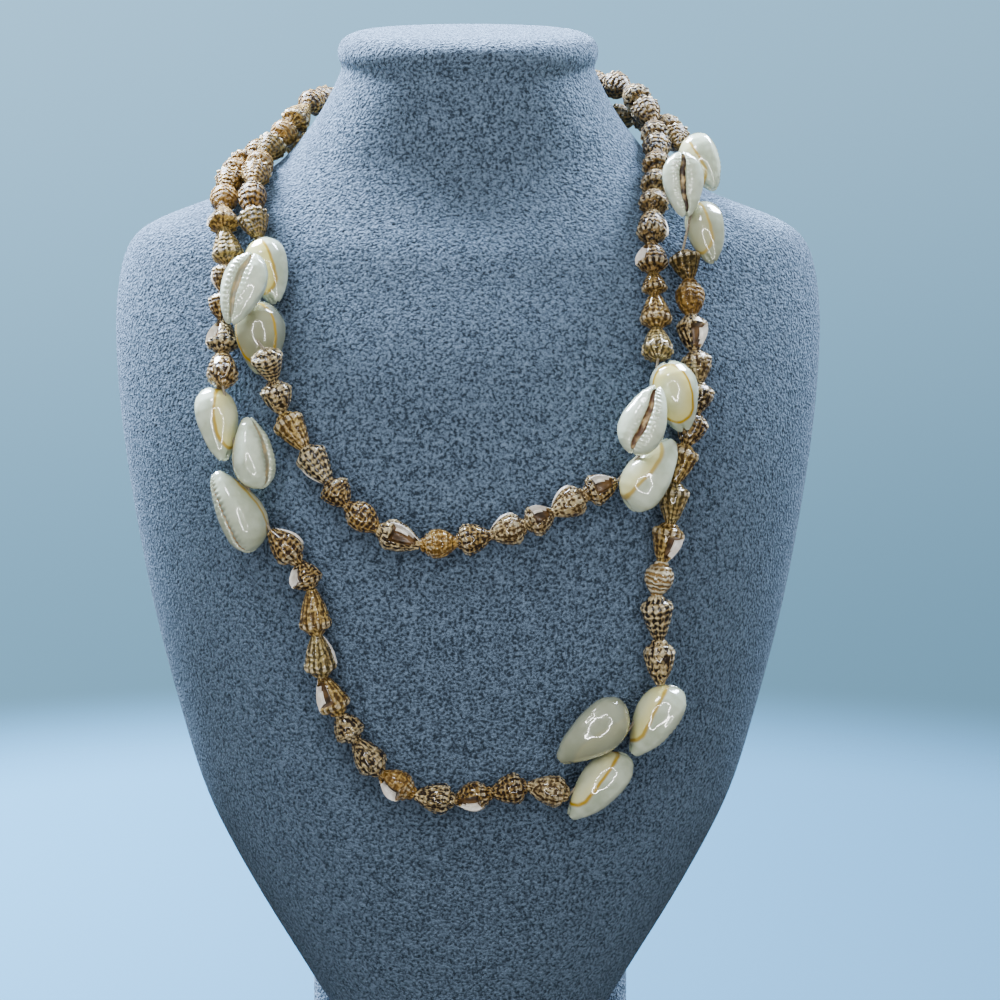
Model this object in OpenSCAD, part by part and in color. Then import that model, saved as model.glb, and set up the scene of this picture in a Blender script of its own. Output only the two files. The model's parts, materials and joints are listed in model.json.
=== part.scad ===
// A long loop of small shells and cowries, worn twice round a velvet neck bust.
// Millimetres. +Z is up, the bust faces -Y, and the origin is the centre of the foot's underside.

/* [Small shells] */
// Largest diameter of a small shell
shell_d = 7.5; // [6.4:0.1:7.6]
// Clear gap between two shells on the thread, also where it bends
bead_gap = 0.3; // [0.3:0.1:0.8]

/* [Cowries] */
// Width of a cowrie as a part of its length
cowrie_width = 0.62; // [0.56:0.01:0.64]
// Height of the back above the rim, as a part of the length
cowrie_back = 0.35; // [0.28:0.01:0.36]
// Depth of the belly below the rim, as a part of the length
cowrie_belly = 0.20; // [0.16:0.01:0.21]
// Depth of the slit in the belly, as a part of the length
slit_depth = 0.11; // [0.05:0.01:0.13]

/* [Thread] */
// Diameter of the thread
thread_d = 0.8; // [0.5:0.1:0.9]
// Diameter of the hole drilled through each shell
bore_d = 1.4; // [1.3:0.1:1.6]

/* [Neck bust] */
// Lean of the round top towards the viewer, in degrees
top_tilt = 6; // [0:1:10]
// Squareness of the bust's sections, where 1 is an ellipse
section_power = 0.92; // [0.86:0.01:1]
// Clear gap between the bust and its foot
seat_gap = 0.2; // [0.2:0.1:0.4]

/* [Foot] */
// Width of the foot
foot_w = 92; // [80:1:100]
// Depth of the foot, front to back
foot_d = 84; // [80:1:96]
// Height of the block behind the bust
block_h = 36; // [24:1:40]
// Depth of the block behind the bust
block_d = 34; // [24:1:34]
// Corner radius of the plate and the block
foot_r = 12; // [6:1:14]

/* [Hidden] */

FRONT = -1;
BACK = 1;
OPEN_AIR = 0;

// Sections of the bust, from the bottom up:
// [height, half width, mid Y, depth in front of mid Y, depth behind it]
BUST = [
  [8.2, 22, -18, 20, 12],
  [14, 28, -17, 26, 14],
  [25, 38, -16, 33, 17],
  [40, 47, -14, 40, 20],
  [57, 58, -12, 46, 22],
  [77, 69, -11, 51, 24],
  [90, 75, -10, 54, 25],
  [110, 80.5, -9, 57, 26],
  [138, 88, -8, 60, 28],
  [176, 94.5, -6, 60, 32],
  [198, 97, -4, 56, 36],
  [216, 98, -2, 50, 38],
  [228, 97, 0, 45, 39],
  [236, 95, 1, 42, 39],
  [241, 91.5, 2, 39, 39],
  [245, 84, 3, 37, 39],
  [250, 69, 4, 35, 38],
  [254, 61, 5, 34, 37],
  [259, 52, 6, 33, 36],
  [265, 47, 7, 33, 35],
  [272, 41.5, 8, 33, 35],
  [279, 37.8, 8, 33, 34],
  [283, 35.9, 8, 32.2, 33.2],
  [285.5, 34.9, 8, 31.5, 32.5],
  [287.5, 36, 8, 32.6, 33.6],
  [290, 36.4, 8, 33, 34],
  [292.5, 35.5, 8, 32, 33],
  [294.3, 33, 8, 29.5, 30.5],
  [295.4, 28.5, 8, 25, 26]
];
// The crown of the round top, above its last section
crown_rise = 0.5;
// The plate's top lies just under the lowest section
plate_t = BUST[0][0] - seat_gap;
// The lean of the top grows from nothing to all of it between these heights
lean_from = 268;
lean_to = 286;
// Corners of the bust's sections
BUST_SIDES = 32;

// Runs of small shells. A point on the velvet is [x, height, distance off it, FRONT or BACK],
// and a point in the open air is [x, height, y, OPEN_AIR].
// Front of the inner round, from the left cowries to the right ones
RUN_FRONT = [
  [-47.8, 207.6, 14.5, FRONT],
  [-47.2, 202, 8, FRONT],
  [-45.8, 194.5, 5, FRONT],
  [-40, 186.5, 4.2, FRONT],
  [-29, 172.5, 4.2, FRONT],
  [-20.5, 166.6, 4.2, FRONT],
  [-10, 163.3, 4.2, FRONT],
  [8, 166.3, 4.2, FRONT],
  [17, 169, 4.2, FRONT],
  [31.5, 176.6, 4.2, FRONT],
  [37.5, 178.7, 5.2, FRONT]
];
// Up the right of the inner round and behind the neck
RUN_RIGHT = [
  [47.4, 207, 8, FRONT],
  [48.2, 213, 4.6, FRONT],
  [48.4, 221, 4.2, FRONT],
  [47.6, 235, 4.2, FRONT],
  [48.4, 244, 4.2, FRONT],
  [49.4, 256, 4.6, FRONT],
  [51.5, 267, 3, OPEN_AIR],
  [49.5, 274, 12, OPEN_AIR],
  [43, 280.5, 27, OPEN_AIR],
  [34.5, 281, 38, OPEN_AIR],
  [25, 279.2, 44, OPEN_AIR]
];
// From behind the neck down the left of the outer round
RUN_LEFT = [
  [-11, 273.5, 5, BACK],
  [-20, 269.6, 4.4, BACK],
  [-32, 266.8, 4.5, BACK],
  [-44, 266, 33, OPEN_AIR],
  [-54.5, 264, 21, OPEN_AIR],
  [-60.6, 260.3, 8, OPEN_AIR],
  [-64.4, 254.9, -12, OPEN_AIR],
  [-63.5, 242, 5.2, FRONT],
  [-61, 233, 4.2, FRONT],
  [-62, 226, 4.2, FRONT],
  [-62, 212, 4.2, FRONT],
  [-59, 200.3, 9.6, FRONT]
];
// Bottom of the outer round
RUN_BOTTOM = [
  [-47.9, 166.4, 6.4, FRONT],
  [-43.3, 160.4, 4.2, FRONT],
  [-39, 154.4, 4.2, FRONT],
  [-37.4, 142.5, 4.2, FRONT],
  [-36.4, 131, 4.2, FRONT],
  [-32.5, 121, 4.2, FRONT],
  [-22.4, 105, 4.2, FRONT],
  [-14, 98.8, 4.2, FRONT],
  [-3.5, 96.9, 4.2, FRONT],
  [15.3, 100.8, 4.2, FRONT],
  [25.6, 98.7, 6, FRONT]
];
// Up the right of the outer round
RUN_RISE = [
  [47.8, 127, 6, FRONT],
  [48.3, 138, 4.2, FRONT],
  [47.5, 149, 4.2, FRONT],
  [49, 158.4, 4.2, FRONT],
  [52, 172, 4.2, FRONT],
  [52.2, 178, 4.2, FRONT],
  [55.8, 189, 4.2, FRONT],
  [58.6, 197, 4.2, FRONT],
  [59, 204, 4.2, FRONT],
  [57.5, 213, 4.2, FRONT],
  [57.2, 227, 4.2, FRONT],
  [55.6, 234.8, 4.6, FRONT]
];
// From the right cowries behind the neck and down to the left of the inner round
RUN_NECK = [
  [59, 263.2, 3, OPEN_AIR],
  [55.5, 269.2, 15.5, OPEN_AIR],
  [50.8, 271.3, 23.5, OPEN_AIR],
  [44.8, 271.8, 31, OPEN_AIR],
  [36, 269.5, 37.5, OPEN_AIR],
  [25, 265.5, 43, OPEN_AIR],
  [10, 258, 4.6, BACK],
  [-4, 259.5, 8, BACK],
  [-15, 264.3, 11, BACK],
  [-26, 270, 50.6, OPEN_AIR],
  [-36, 275, 43, OPEN_AIR],
  [-41.8, 276.5, 31, OPEN_AIR],
  [-44.5, 275.5, 20, OPEN_AIR],
  [-50.3, 267.5, 6, OPEN_AIR],
  [-55.8, 261.2, -3, OPEN_AIR],
  [-56, 249, 5, FRONT],
  [-56, 243, 4.3, FRONT],
  [-53.5, 237.5, 4.6, FRONT]
];

// Each run: [its points, the length of each shell, which end has the spire].
// The lengths are scaled to fill the run, and 1 puts the spire at the shell's far end.
RUNS = [
  [RUN_FRONT,
    [9.5, 9.3, 11.2, 11, 8, 10.4, 12, 9.8, 9, 9.6, 8, 9.7, 9.2],
    [-1, -1, -1, -1, -1, -1, -1, -1, -1, 1, -1, 1, -1]],
  [RUN_RIGHT,
    [10.6, 9.6, 6.2, 8.8, 10.8, 7.6, 8.6, 9.6, 9.6, 10.2, 10.2, 9.8, 10.4, 10, 9.6],
    [-1, -1, -1, -1, -1, -1, -1, -1, 1, -1, 1, -1, 1, 1, -1]],
  [RUN_LEFT,
    [10, 9.6, 10.4, 10, 9.4, 10.2, 9, 10.4, 9.4, 9.6, 9.8, 8.4, 10.8, 8.4, 7.8, 9.4, 12],
    [-1, 1, -1, -1, 1, 1, -1, 1, 1, -1, -1, 1, 1, -1, -1, 1, 1]],
  [RUN_BOTTOM,
    [11.2, 8.2, 12.2, 11.6, 11, 8.2, 11.3, 10.8, 10.9, 10, 9.7, 11.6],
    [1, 1, 1, 1, 1, 1, 1, 1, 1, 1, 1, 1]],
  [RUN_RISE,
    [12, 12.2, 9.4, 10.5, 11.1, 10.6, 9.5, 8.5, 8.8, 10.2, 10.6, 8.6],
    [1, 1, 1, 1, 1, 1, 1, 1, 1, 1, 1, 1]],
  [RUN_NECK,
    [9, 10.4, 9.8, 10, 10.6, 9.6, 10.2, 10, 9.4, 10.4, 9.8, 10.2, 9.6, 10, 9.6, 9.4, 10.4, 8.8,
      8.6, 8.4, 9.6, 12, 10],
    [1, -1, 1, 1, -1, -1, 1, -1, 1, 1, -1, 1, -1, 1, -1, -1, 1, -1, -1, 1, -1, -1, -1]]
];

// Thread points through the three cowries that follow each run
GROUPS = [
  [[42.6, 185.6, 12.5, FRONT], [43.8, 193.9, 14, FRONT]],
  [[12, 276.5, 6, BACK], [1, 275.5, 6, BACK]],
  [[-57.5, 189.5, 7, FRONT], [-55, 179.5, 7, FRONT]],
  [[33, 108, 6.5, FRONT], [40, 116, 7, FRONT]],
  [[59.4, 249, -38, OPEN_AIR], [61.5, 257, -25, OPEN_AIR]],
  [[-51.5, 224.7, 13.5, FRONT], [-52.3, 217.1, 13.5, FRONT], [-53, 213, 8.5, FRONT]]
];

// Cowries in the order of the thread: a place as in the runs, then the heading of the
// narrow end seen from that side, the lean of that end outwards, the roll of the back
// from outwards, the length, and the girth beside that of a usual cowrie
COWRIES = [
  [45.3, 180, 7.6, FRONT, 61, 0, -75, 21, 1],
  [41.5, 191.3, 16.6, FRONT, 67, 0, 155, 18.6, 1.03],
  [51.2, 198.3, 8.6, FRONT, -76, 0, 30, 18.6, 1.06],
  [16, 276.5, 6.2, BACK, -80, 0, 10, 20, 1],
  [5, 273, 6.2, BACK, 95, 0, 0, 20, 1],
  [-6, 276.5, 6.2, BACK, -95, 0, -10, 20, 1],
  [-61.4, 191.6, 7, FRONT, -75, 0, -50, 19.6, 0.94],
  [-51.9, 184.8, 7.2, FRONT, 104, 0, -100, 18.8, 0.98],
  [-56.1, 170.9, 7.4, FRONT, 115, 0, 97, 22.6, 0.96],
  [32.8, 100.6, 6.6, FRONT, 224, 0, 50, 22, 0.88],
  [30.7, 115.9, 7.4, FRONT, 225, 0, -82, 22.4, 0.98],
  [46.4, 117.6, 7.2, FRONT, 232, 0, 70, 21, 0.96],
  [61.5, 237.6, 6.4, FRONT, -82, 0, 30, 18.2, 0.94],
  [56.7, 254, -38.6, OPEN_AIR, -86, 12, 180, 17.2, 1.02],
  [63.8, 259.3, -12, OPEN_AIR, -72, 32, 65, 17.6, 1],
  [-50.5, 229.8, 5, FRONT, -78, 0, 25, 18.4, 1],
  [-52.7, 219.8, 17.6, FRONT, -107, 0, 205, 20, 0.92],
  [-51.9, 212.8, 5.4, FRONT, -88, -5, 10, 19.2, 1.1]
];
COWRIES_IN_GROUP = 3;

// A small shell along its length from the spire: [place, radius as a part of the largest]
SPINDLE = [
  [0, 0.32], [0.07, 0.56], [0.2, 0.84], [0.32, 0.98], [0.42, 1],
  [0.54, 0.92], [0.7, 0.72], [0.88, 0.48], [1, 0.3]
];
// A shell is no fatter than this part of its length
shell_fat = 0.98;

// A cowrie along its length from the broad end:
// [place, half width, back, belly], each as a part of its largest
OVOID = [
  [0, 0.16, 0.12, 0.24],
  [0.03, 0.42, 0.38, 0.5],
  [0.1, 0.7, 0.68, 0.78],
  [0.21, 0.91, 0.91, 0.94],
  [0.34, 1, 1, 1],
  [0.48, 0.98, 0.97, 1],
  [0.62, 0.88, 0.83, 0.95],
  [0.76, 0.72, 0.62, 0.85],
  [0.88, 0.53, 0.4, 0.68],
  [0.96, 0.35, 0.22, 0.48],
  [1, 0.2, 0.12, 0.3]
];
// Angles round a cowrie from its right rim over the back, with the slit in the belly
OVOID_ANGLES = [0, 26, 52, 78, 104, 130, 156, 180, 208, 236, 259, 267, 273, 281, 304, 332];
SLIT_ANGLES = [267, 273];
// The slit stops short of both ends, at these places along the cowrie
slit_from = 0.06;
slit_to = 0.97;
// Roundness of a cowrie's section above and below its rim, where 1 is an ellipse
back_power = 0.95;
belly_power = 0.75;
// Reach of the two tips from the middle, and how far the narrow one lies below the rim
tip_reach = 0.515;
tip_drop = 0.02;

// How far the first and last shells of a run stay back from the thread's corner at a cowrie
cowrie_gap = 0.5;

// Steps of a run's curve between two of its points
CURVE_STEPS = 8;
TUBE_SIDES = 6;
CORNER_FACETS = 64;
// Half the spread over which a surface's slope is taken
slope_step = 0.4;
// Rough upward direction for a small shell, which is round, so that any but its own will do
UPWARD = [0, -1, 0.3];
// A surface that faces sideways still gives this much to the view from the front
least_facing = 0.3;

function unit(v) = v / norm(v);
function last(list) = list[len(list) - 1];
function total(list, i = 0) = i < len(list) ? list[i] + total(list, i + 1) : 0;
function signed_power(v, p) = sign(v) * pow(abs(v), p);
function ease(t) = let(u = min(max(t, 0), 1)) u * u * (3 - 2 * u);

// Which section lies just below a height
function section_below(z, i = 0) =
  i >= len(BUST) - 2 || BUST[i + 1][0] > z ? i : section_below(z, i + 1);

// Slope of one column of BUST at a section
function section_slope(i, c) =
  let(a = BUST[max(i - 1, 0)], b = BUST[min(i + 1, len(BUST) - 1)])
  (b[c] - a[c]) / (b[0] - a[0]);

// One column of BUST at any height, on a smooth curve through the sections
function bust_value(z, c) =
  let(
    i = section_below(z),
    a = BUST[i],
    b = BUST[i + 1],
    h = b[0] - a[0],
    t = (z - a[0]) / h
  )
  (1 - ease(t)) * a[c] + ease(t) * b[c]
    + t * (1 - t) * h * ((1 - t) * section_slope(i, c) - t * section_slope(i + 1, c));

// A point of the bust's skin, at an angle from +X towards the front
function skin(angle, z) =
  let(
    depth = sin(angle) > 0 ? bust_value(z, 3) : bust_value(z, 4),
    y = -depth * signed_power(sin(angle), section_power)
  )
  [
    bust_value(z, 1) * signed_power(cos(angle), section_power),
    bust_value(z, 2) + y,
    z + y * tan(top_tilt) * ease((z - lean_from) / (lean_to - lean_from))
  ];

// The outward direction of the skin
function skin_normal(angle, z) =
  unit(cross(
    skin(angle, z + slope_step) - skin(angle, z - slope_step),
    skin(angle + slope_step, z) - skin(angle - slope_step, z)
  ));

// The angle at which the skin has a given x, on one side
function skin_angle(x, z, side) =
  let(c = min(max(x / bust_value(z, 1), -1), 1))
  -side * acos(signed_power(c, 1 / section_power));

// The outward direction at a row's point, which is straight to the front in the open air
function outward(row) =
  row[3] == OPEN_AIR ? [0, -1, 0] : skin_normal(skin_angle(row[0], row[1], row[3]), row[1]);

// A point from its row
function place(row) =
  row[3] == OPEN_AIR ? [row[0], row[2], row[1]]
  : skin(skin_angle(row[0], row[1], row[3]), row[1]) + row[2] * outward(row);

function spline(p, q, r, s, t) =
  q + t / 2 * (r - p + t * (2 * p - 5 * q + 4 * r - s + t * (3 * q - p - 3 * r + s)));

// A smooth curve through the placed points of a run
function run_curve(points) =
  let(
    n = len(points),
    all = concat([2 * points[0] - points[1]], points, [2 * points[n - 1] - points[n - 2]])
  )
  concat(
    [for (i = [0:n - 2]) for (k = [0:CURVE_STEPS - 1])
      spline(all[i], all[i + 1], all[i + 2], all[i + 3], k / CURVE_STEPS)],
    [points[n - 1]]
  );

// Distance along a curve to each of its points
function distances(curve) = [
  for (i = 0, d = 0; i < len(curve); i = i + 1,
      d = d + (i < len(curve) ? norm(curve[i] - curve[i - 1]) : 0)) d
];

function point_at(curve, far, d) = [
  for (k = [0:2]) lookup(d, [for (i = [0:len(curve) - 1]) [far[i], curve[i][k]]])
];

// The ends of a run's shells on the thread
function run_ends(run) =
  let(
    curve = run_curve([for (row = run[0]) place(row)]),
    far = distances(curve),
    stretch = last(far) / total(run[1])
  )
  [
    for (i = 0, d = 0; i <= len(run[1]); d = d + (i < len(run[1]) ? run[1][i] : 0), i = i + 1)
      point_at(curve, far, d * stretch)
  ];

RUN_ENDS = [for (run = RUNS) run_ends(run)];
GROUP_POINTS = [for (g = GROUPS) [for (row = g) place(row)]];

// All of the thread's corners, in order, as one closed line
THREAD = [for (k = [0:len(RUNS) - 1]) each concat(RUN_ENDS[k], GROUP_POINTS[k])];

// The thread through a group's three cowries, with three more points at each end
function group_line(k) =
  let(
    before = RUN_ENDS[k],
    after = RUN_ENDS[(k + 1) % len(RUNS)],
    n = len(before)
  )
  concat(
    [before[n - 3], before[n - 2], before[n - 1]],
    GROUP_POINTS[k],
    [after[0], after[1], after[2]]
  );

// Corners of a tube at a point of its line, mitred between the stretches before and after it
function tube_ring(before, p, after, d) =
  let(
    way = unit(unit(p - before) + unit(after - p)),
    out = [p[0], p[1], 0],
    e1 = unit(out - (out * way) * way),
    e2 = cross(way, e1)
  )
  [for (j = [0:TUBE_SIDES - 1])
    p + d / 2 * (e1 * cos(360 * j / TUBE_SIDES) + e2 * sin(360 * j / TUBE_SIDES))];

// Direction on the skin that has a given heading when it is seen from its side
function heading_on(normal, heading, side) =
  let(
    across = [(side == BACK ? -1 : 1) * cos(heading), 0, sin(heading)],
    facing = sign(normal[1]) * max(abs(normal[1]), least_facing)
  )
  unit(across - [0, (across * normal) / facing, 0]);

// Turns its children so that +X goes along `along` and +Z lies towards `up`
module aim(at, along, up) {
  x = unit(along);
  y = unit(cross(up, x));
  z = cross(x, y);
  multmatrix([
    [x[0], y[0], z[0], at[0]],
    [x[1], y[1], z[1], at[1]],
    [x[2], y[2], z[2], at[2]],
    [0, 0, 0, 1]
  ]) children();
}

// Faces of a stack of closed rings with a point at each end.
// The rings come first, then the point before the first ring and the one after the last.
function stack_faces(rings, sides) = concat(
  [for (i = [0:rings - 2]) for (j = [0:sides - 1])
    let(a = i * sides + j, b = i * sides + (j + 1) % sides) each [
      [a, b + sides, b], [a, a + sides, b + sides]
    ]],
  [for (j = [0:sides - 1]) [j, (j + 1) % sides, rings * sides]],
  [for (j = [0:sides - 1])
    let(a = (rings - 1) * sides) [a + (j + 1) % sides, a + j, rings * sides + 1]]
);

// How much the thread bends at an inner point of a run
function bend(ends, i) = acos(unit(ends[i] - ends[i - 1]) * unit(ends[i + 1] - ends[i]));

// How far a shell stays back from point i, so that its rim clears its neighbour's
function trim(ends, i) =
  i == 0 || i == len(ends) - 1 ? cowrie_gap
  : bead_gap / 2 + SPINDLE[0][1] * shell_d / 2 * tan(bend(ends, i) / 2);

// One small shell with its axis from one point to another
module small_shell(from, to, size, spire) {
  long = norm(to - from);
  fat = min(shell_d, shell_fat * size) / 2;
  aim(spire > 0 ? to : from, spire > 0 ? from - to : to - from, UPWARD)
    rotate([0, 90, 0])
      rotate_extrude()
        polygon(concat(
          [[bore_d / 2, 0]],
          [for (row = SPINDLE) [row[1] * fat, row[0] * long]],
          [[bore_d / 2, long]]
        ));
}

module run_of_shells(k) {
  ends = RUN_ENDS[k];
  for (i = [0:len(RUNS[k][1]) - 1]) {
    way = unit(ends[i + 1] - ends[i]);
    small_shell(
      ends[i] + trim(ends, i) * way,
      ends[i + 1] - trim(ends, i + 1) * way,
      RUNS[k][1][i],
      RUNS[k][2][i]
    );
  }
}

// Runs 5, 0 and 1 go round the inner way
module inner_round_shells() {
  color("peru") {
    run_of_shells(5);
    run_of_shells(0);
    run_of_shells(1);
  }
}

module outer_round_shells() {
  color("tan") {
    run_of_shells(2);
    run_of_shells(3);
    run_of_shells(4);
  }
}

// How deep the slit is at a place along the cowrie, from 0 to 1
function slit_part(t) = t < slit_from || t > slit_to ? 0 : 1;

// A cowrie of unit length, its broad end at -X and its back up
module cowrie_body() {
  sides = len(OVOID_ANGLES);
  rings = len(OVOID);
  points = [for (row = OVOID) for (a = OVOID_ANGLES)
    let(
      in_slit = len(search(a, SLIT_ANGLES)) > 0,
      rise = sin(a) > 0 ? cowrie_back * row[2] : cowrie_belly * row[3],
      cut = in_slit ? slit_depth * slit_part(row[0]) : 0
    )
    [
      row[0] - 0.5,
      cowrie_width / 2 * row[1] * cos(a),
      rise * signed_power(sin(a), sin(a) > 0 ? back_power : belly_power) + cut
    ]];
  tips = [[-tip_reach, 0, 0], [tip_reach, 0, -tip_drop]];
  polyhedron(concat(points, tips), stack_faces(rings, sides));
}

// A bore along a group's stretch of the thread
module bore(k) {
  line = group_line(k);
  n = len(line);
  points = [for (i = [1:n - 2]) each tube_ring(line[i - 1], line[i], line[i + 1], bore_d)];
  polyhedron(concat(points, [line[1], line[n - 2]]), stack_faces(n - 2, TUBE_SIDES));
}

// Cowrie number i, drilled wherever the thread runs through it or bends beside it
module cowrie(i) {
  row = COWRIES[i];
  normal = outward(row);
  flat_way = heading_on(normal, row[4], row[3]);
  way = unit(flat_way * cos(row[5]) + normal * sin(row[5]));
  out = unit(normal - (normal * way) * way);
  back = out * cos(row[6]) + cross(way, out) * sin(row[6]);
  long = row[7];
  color("ivory")
    difference() {
      aim(place(row), way, back) scale([long, long * row[8], long * row[8]]) cowrie_body();
      bore(floor(i / COWRIES_IN_GROUP));
    }
}

// The thread: one closed tube
module thread() {
  n = len(THREAD);
  points = [for (i = [0:n - 1])
    each tube_ring(THREAD[(i + n - 1) % n], THREAD[i], THREAD[(i + 1) % n], thread_d)];
  faces = [for (i = [0:n - 1]) for (j = [0:TUBE_SIDES - 1])
    let(
      a = i * TUBE_SIDES + j,
      b = i * TUBE_SIDES + (j + 1) % TUBE_SIDES,
      c = (i + 1) % n * TUBE_SIDES + (j + 1) % TUBE_SIDES,
      d = (i + 1) % n * TUBE_SIDES + j
    )
    each [[a, c, b], [a, d, c]]];
  color("whitesmoke") polyhedron(points, faces);
}

// The bust: one skin through its sections, with a low crown on the round top
module neck_bust() {
  rows = len(BUST);
  points = [for (row = BUST) for (j = [0:BUST_SIDES - 1])
    skin(-360 * j / BUST_SIDES, row[0])];
  low = BUST[0];
  high = BUST[rows - 1];
  tips = [[0, low[2], low[0]], [0, high[2], high[0] + crown_rise]];
  color("slategray")
    polyhedron(concat(points, tips), stack_faces(rows, BUST_SIDES));
}

// A plate with round corners, its front edge at front_y
module round_block(front_y, d, h) {
  linear_extrude(height = h)
    translate([0, front_y + d / 2]) {
      square([foot_w - 2 * foot_r, d], center = true);
      square([foot_w, d - 2 * foot_r], center = true);
      for (sx = [-1, 1]) for (sy = [-1, 1])
        translate([sx * (foot_w / 2 - foot_r), sy * (d / 2 - foot_r)])
          circle(r = foot_r, $fn = CORNER_FACETS);
    }
}

// The foot: a plate that carries the bust and a block that stands behind it
module bust_foot() {
  color("slategray") {
    round_block(-foot_d / 2, foot_d, plate_t);
    round_block(foot_d / 2 - block_d, block_d, block_h);
  }
}

neck_bust();
bust_foot();
inner_round_shells();
outer_round_shells();
thread();
cowrie(0);  // cowrie_01
cowrie(1);  // cowrie_02
cowrie(2);  // cowrie_03
cowrie(3);  // cowrie_04
cowrie(4);  // cowrie_05
cowrie(5);  // cowrie_06
cowrie(6);  // cowrie_07
cowrie(7);  // cowrie_08
cowrie(8);  // cowrie_09
cowrie(9);  // cowrie_10
cowrie(10);  // cowrie_11
cowrie(11);  // cowrie_12
cowrie(12);  // cowrie_13
cowrie(13);  // cowrie_14
cowrie(14);  // cowrie_15
cowrie(15);  // cowrie_16
cowrie(16);  // cowrie_17
cowrie(17);  // cowrie_18
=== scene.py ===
import json
import math
import random

import bmesh
import bpy
from mathutils import Matrix, Vector

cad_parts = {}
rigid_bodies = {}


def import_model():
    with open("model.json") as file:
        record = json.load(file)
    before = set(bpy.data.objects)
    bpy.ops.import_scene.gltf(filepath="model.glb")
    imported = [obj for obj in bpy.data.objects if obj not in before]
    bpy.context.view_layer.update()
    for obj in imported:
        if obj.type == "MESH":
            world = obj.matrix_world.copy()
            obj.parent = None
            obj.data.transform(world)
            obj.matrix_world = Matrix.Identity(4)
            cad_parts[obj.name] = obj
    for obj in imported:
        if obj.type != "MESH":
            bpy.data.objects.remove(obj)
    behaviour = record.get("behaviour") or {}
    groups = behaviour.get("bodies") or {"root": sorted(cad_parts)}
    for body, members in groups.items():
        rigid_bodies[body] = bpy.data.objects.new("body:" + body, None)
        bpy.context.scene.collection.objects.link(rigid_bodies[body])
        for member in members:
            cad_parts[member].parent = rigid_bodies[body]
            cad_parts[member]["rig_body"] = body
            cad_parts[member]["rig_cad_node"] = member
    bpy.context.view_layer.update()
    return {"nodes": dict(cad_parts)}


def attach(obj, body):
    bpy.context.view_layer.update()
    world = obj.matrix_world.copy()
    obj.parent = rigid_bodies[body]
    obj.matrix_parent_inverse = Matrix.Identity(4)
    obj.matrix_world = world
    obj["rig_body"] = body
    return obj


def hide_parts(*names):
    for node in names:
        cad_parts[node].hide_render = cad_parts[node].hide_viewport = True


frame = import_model()
random.seed(7)

# Shell necklace, worn double round a velvet neck bust. The CAD frame gives every place and size,
# in metres with the chest towards -Y. Each visible piece here replaces one CAD node.

UP = Vector((0, 0, 1))
TO_VIEWER = Vector((0, -1, 0))

# Camera: square picture, a little above the chest and straight in front
CAMERA_AIM = Vector((0.0088, -0.012, 0.167))
CAMERA_DISTANCE = 0.75
CAMERA_ELEVATION = math.radians(8)
VIEW_HALF_WIDTH = 0.13775

# Small shells: a unit shell lies along X from its spire, with radius 1
SHELL_SIDES = 26
CROWN_PLACE = 0.25
# How far each end of a shell reaches past its solid, as a share of its length
SHELL_OVERLAP = 0.045

# Cowries: a unit cowrie lies along X with its back up, and its CAD tips reach a little farther
COWRIE_TIP_SPAN = 1.03
COWRIE_WIDTH = 0.62
COWRIE_BACK = 0.35
COWRIE_BELLY = 0.20

# Points of a CAD mesh nearer than this are the same point
MERGE_GAP = 0.00002

# Colours, as six hex digits
VELVET_DEEP, VELVET_LIGHT, VELVET_SHEEN = "26303C", "6B7E94", "A6CCEC"
SHELL_PATCH, SHELL_PALE, SHELL_CROWN = "9A7A44", "F2E2B8", "F0DFB8"
LIP_SHADE, LIP_LIGHT = "D9D2C6", "F2EEE6"
MOUTH_SHADE, MOUTH_LIGHT = "2A1C0E", "664A28"
# The third porcelain colour is painted shade
PORCELAIN_LIGHT, PORCELAIN_SHADE, PORCELAIN_PAINTED_SHADE = "C3CEB8", "A4AF96", "7C7F66"
COWRIE_RING, TOOTH_TONE = "A48300", "CDB27C"
COTTON_SHADE, COTTON_LIGHT = "625A4C", "968B76"
# The floor's right colour is painted shade
FLOOR_LEFT, FLOOR_RIGHT = "34627E", "28495D"
SKY_LIGHT, SOFT_WHITE = "DDEBFF", "F2F7FF"


def linear(code):
    """A colour written as six hex digits, as the shader's linear values."""
    values = [int(code[i:i + 2], 16) / 255 for i in (0, 2, 4)]
    return [v / 12.92 if v < 0.04045 else ((v + 0.055) / 1.055) ** 2.4 for v in values] + [1]


# Selection and edit mode

QUAD_ANGLE = math.radians(60)


def only(piece):
    """Selects one piece alone, in object mode."""
    if bpy.context.mode != "OBJECT":
        bpy.ops.object.mode_set(mode="OBJECT")
    bpy.ops.object.select_all(action="DESELECT")
    piece.select_set(True)
    bpy.context.view_layer.objects.active = piece


def open_up(piece):
    """Opens one piece for editing. close_up ends it."""
    only(piece)
    bpy.ops.object.mode_set(mode="EDIT")


def close_up():
    """Ends the editing of the open piece."""
    bpy.ops.object.mode_set(mode="OBJECT")


def pick(piece, kind, test):
    """Selects the faces or points of the open piece whose places pass the test."""
    bpy.ops.mesh.select_mode(type=kind)
    bpy.ops.mesh.select_all(action="DESELECT")
    shape = bmesh.from_edit_mesh(piece.data)
    for part in (shape.faces if kind == "FACE" else shape.verts):
        place = part.calc_center_median() if kind == "FACE" else part.co
        if test(place):
            part.select_set(True)
    shape.select_flush(True)
    bmesh.update_edit_mesh(piece.data)


def stretch(x=1, y=1, z=1, about=(0, 0, 0)):
    """Scales what is selected."""
    bpy.ops.transform.resize(value=(x, y, z), center_override=about)


def extrude(by=(0, 0, 0)):
    """Extrudes the selected faces and moves them."""
    bpy.ops.mesh.extrude_region_move(TRANSFORM_OT_translate={"value": by})


def paint(piece, slot):
    """Gives the selected faces of the open piece the material in a slot."""
    piece.active_material_index = slot
    bpy.ops.object.material_slot_assign()


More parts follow.
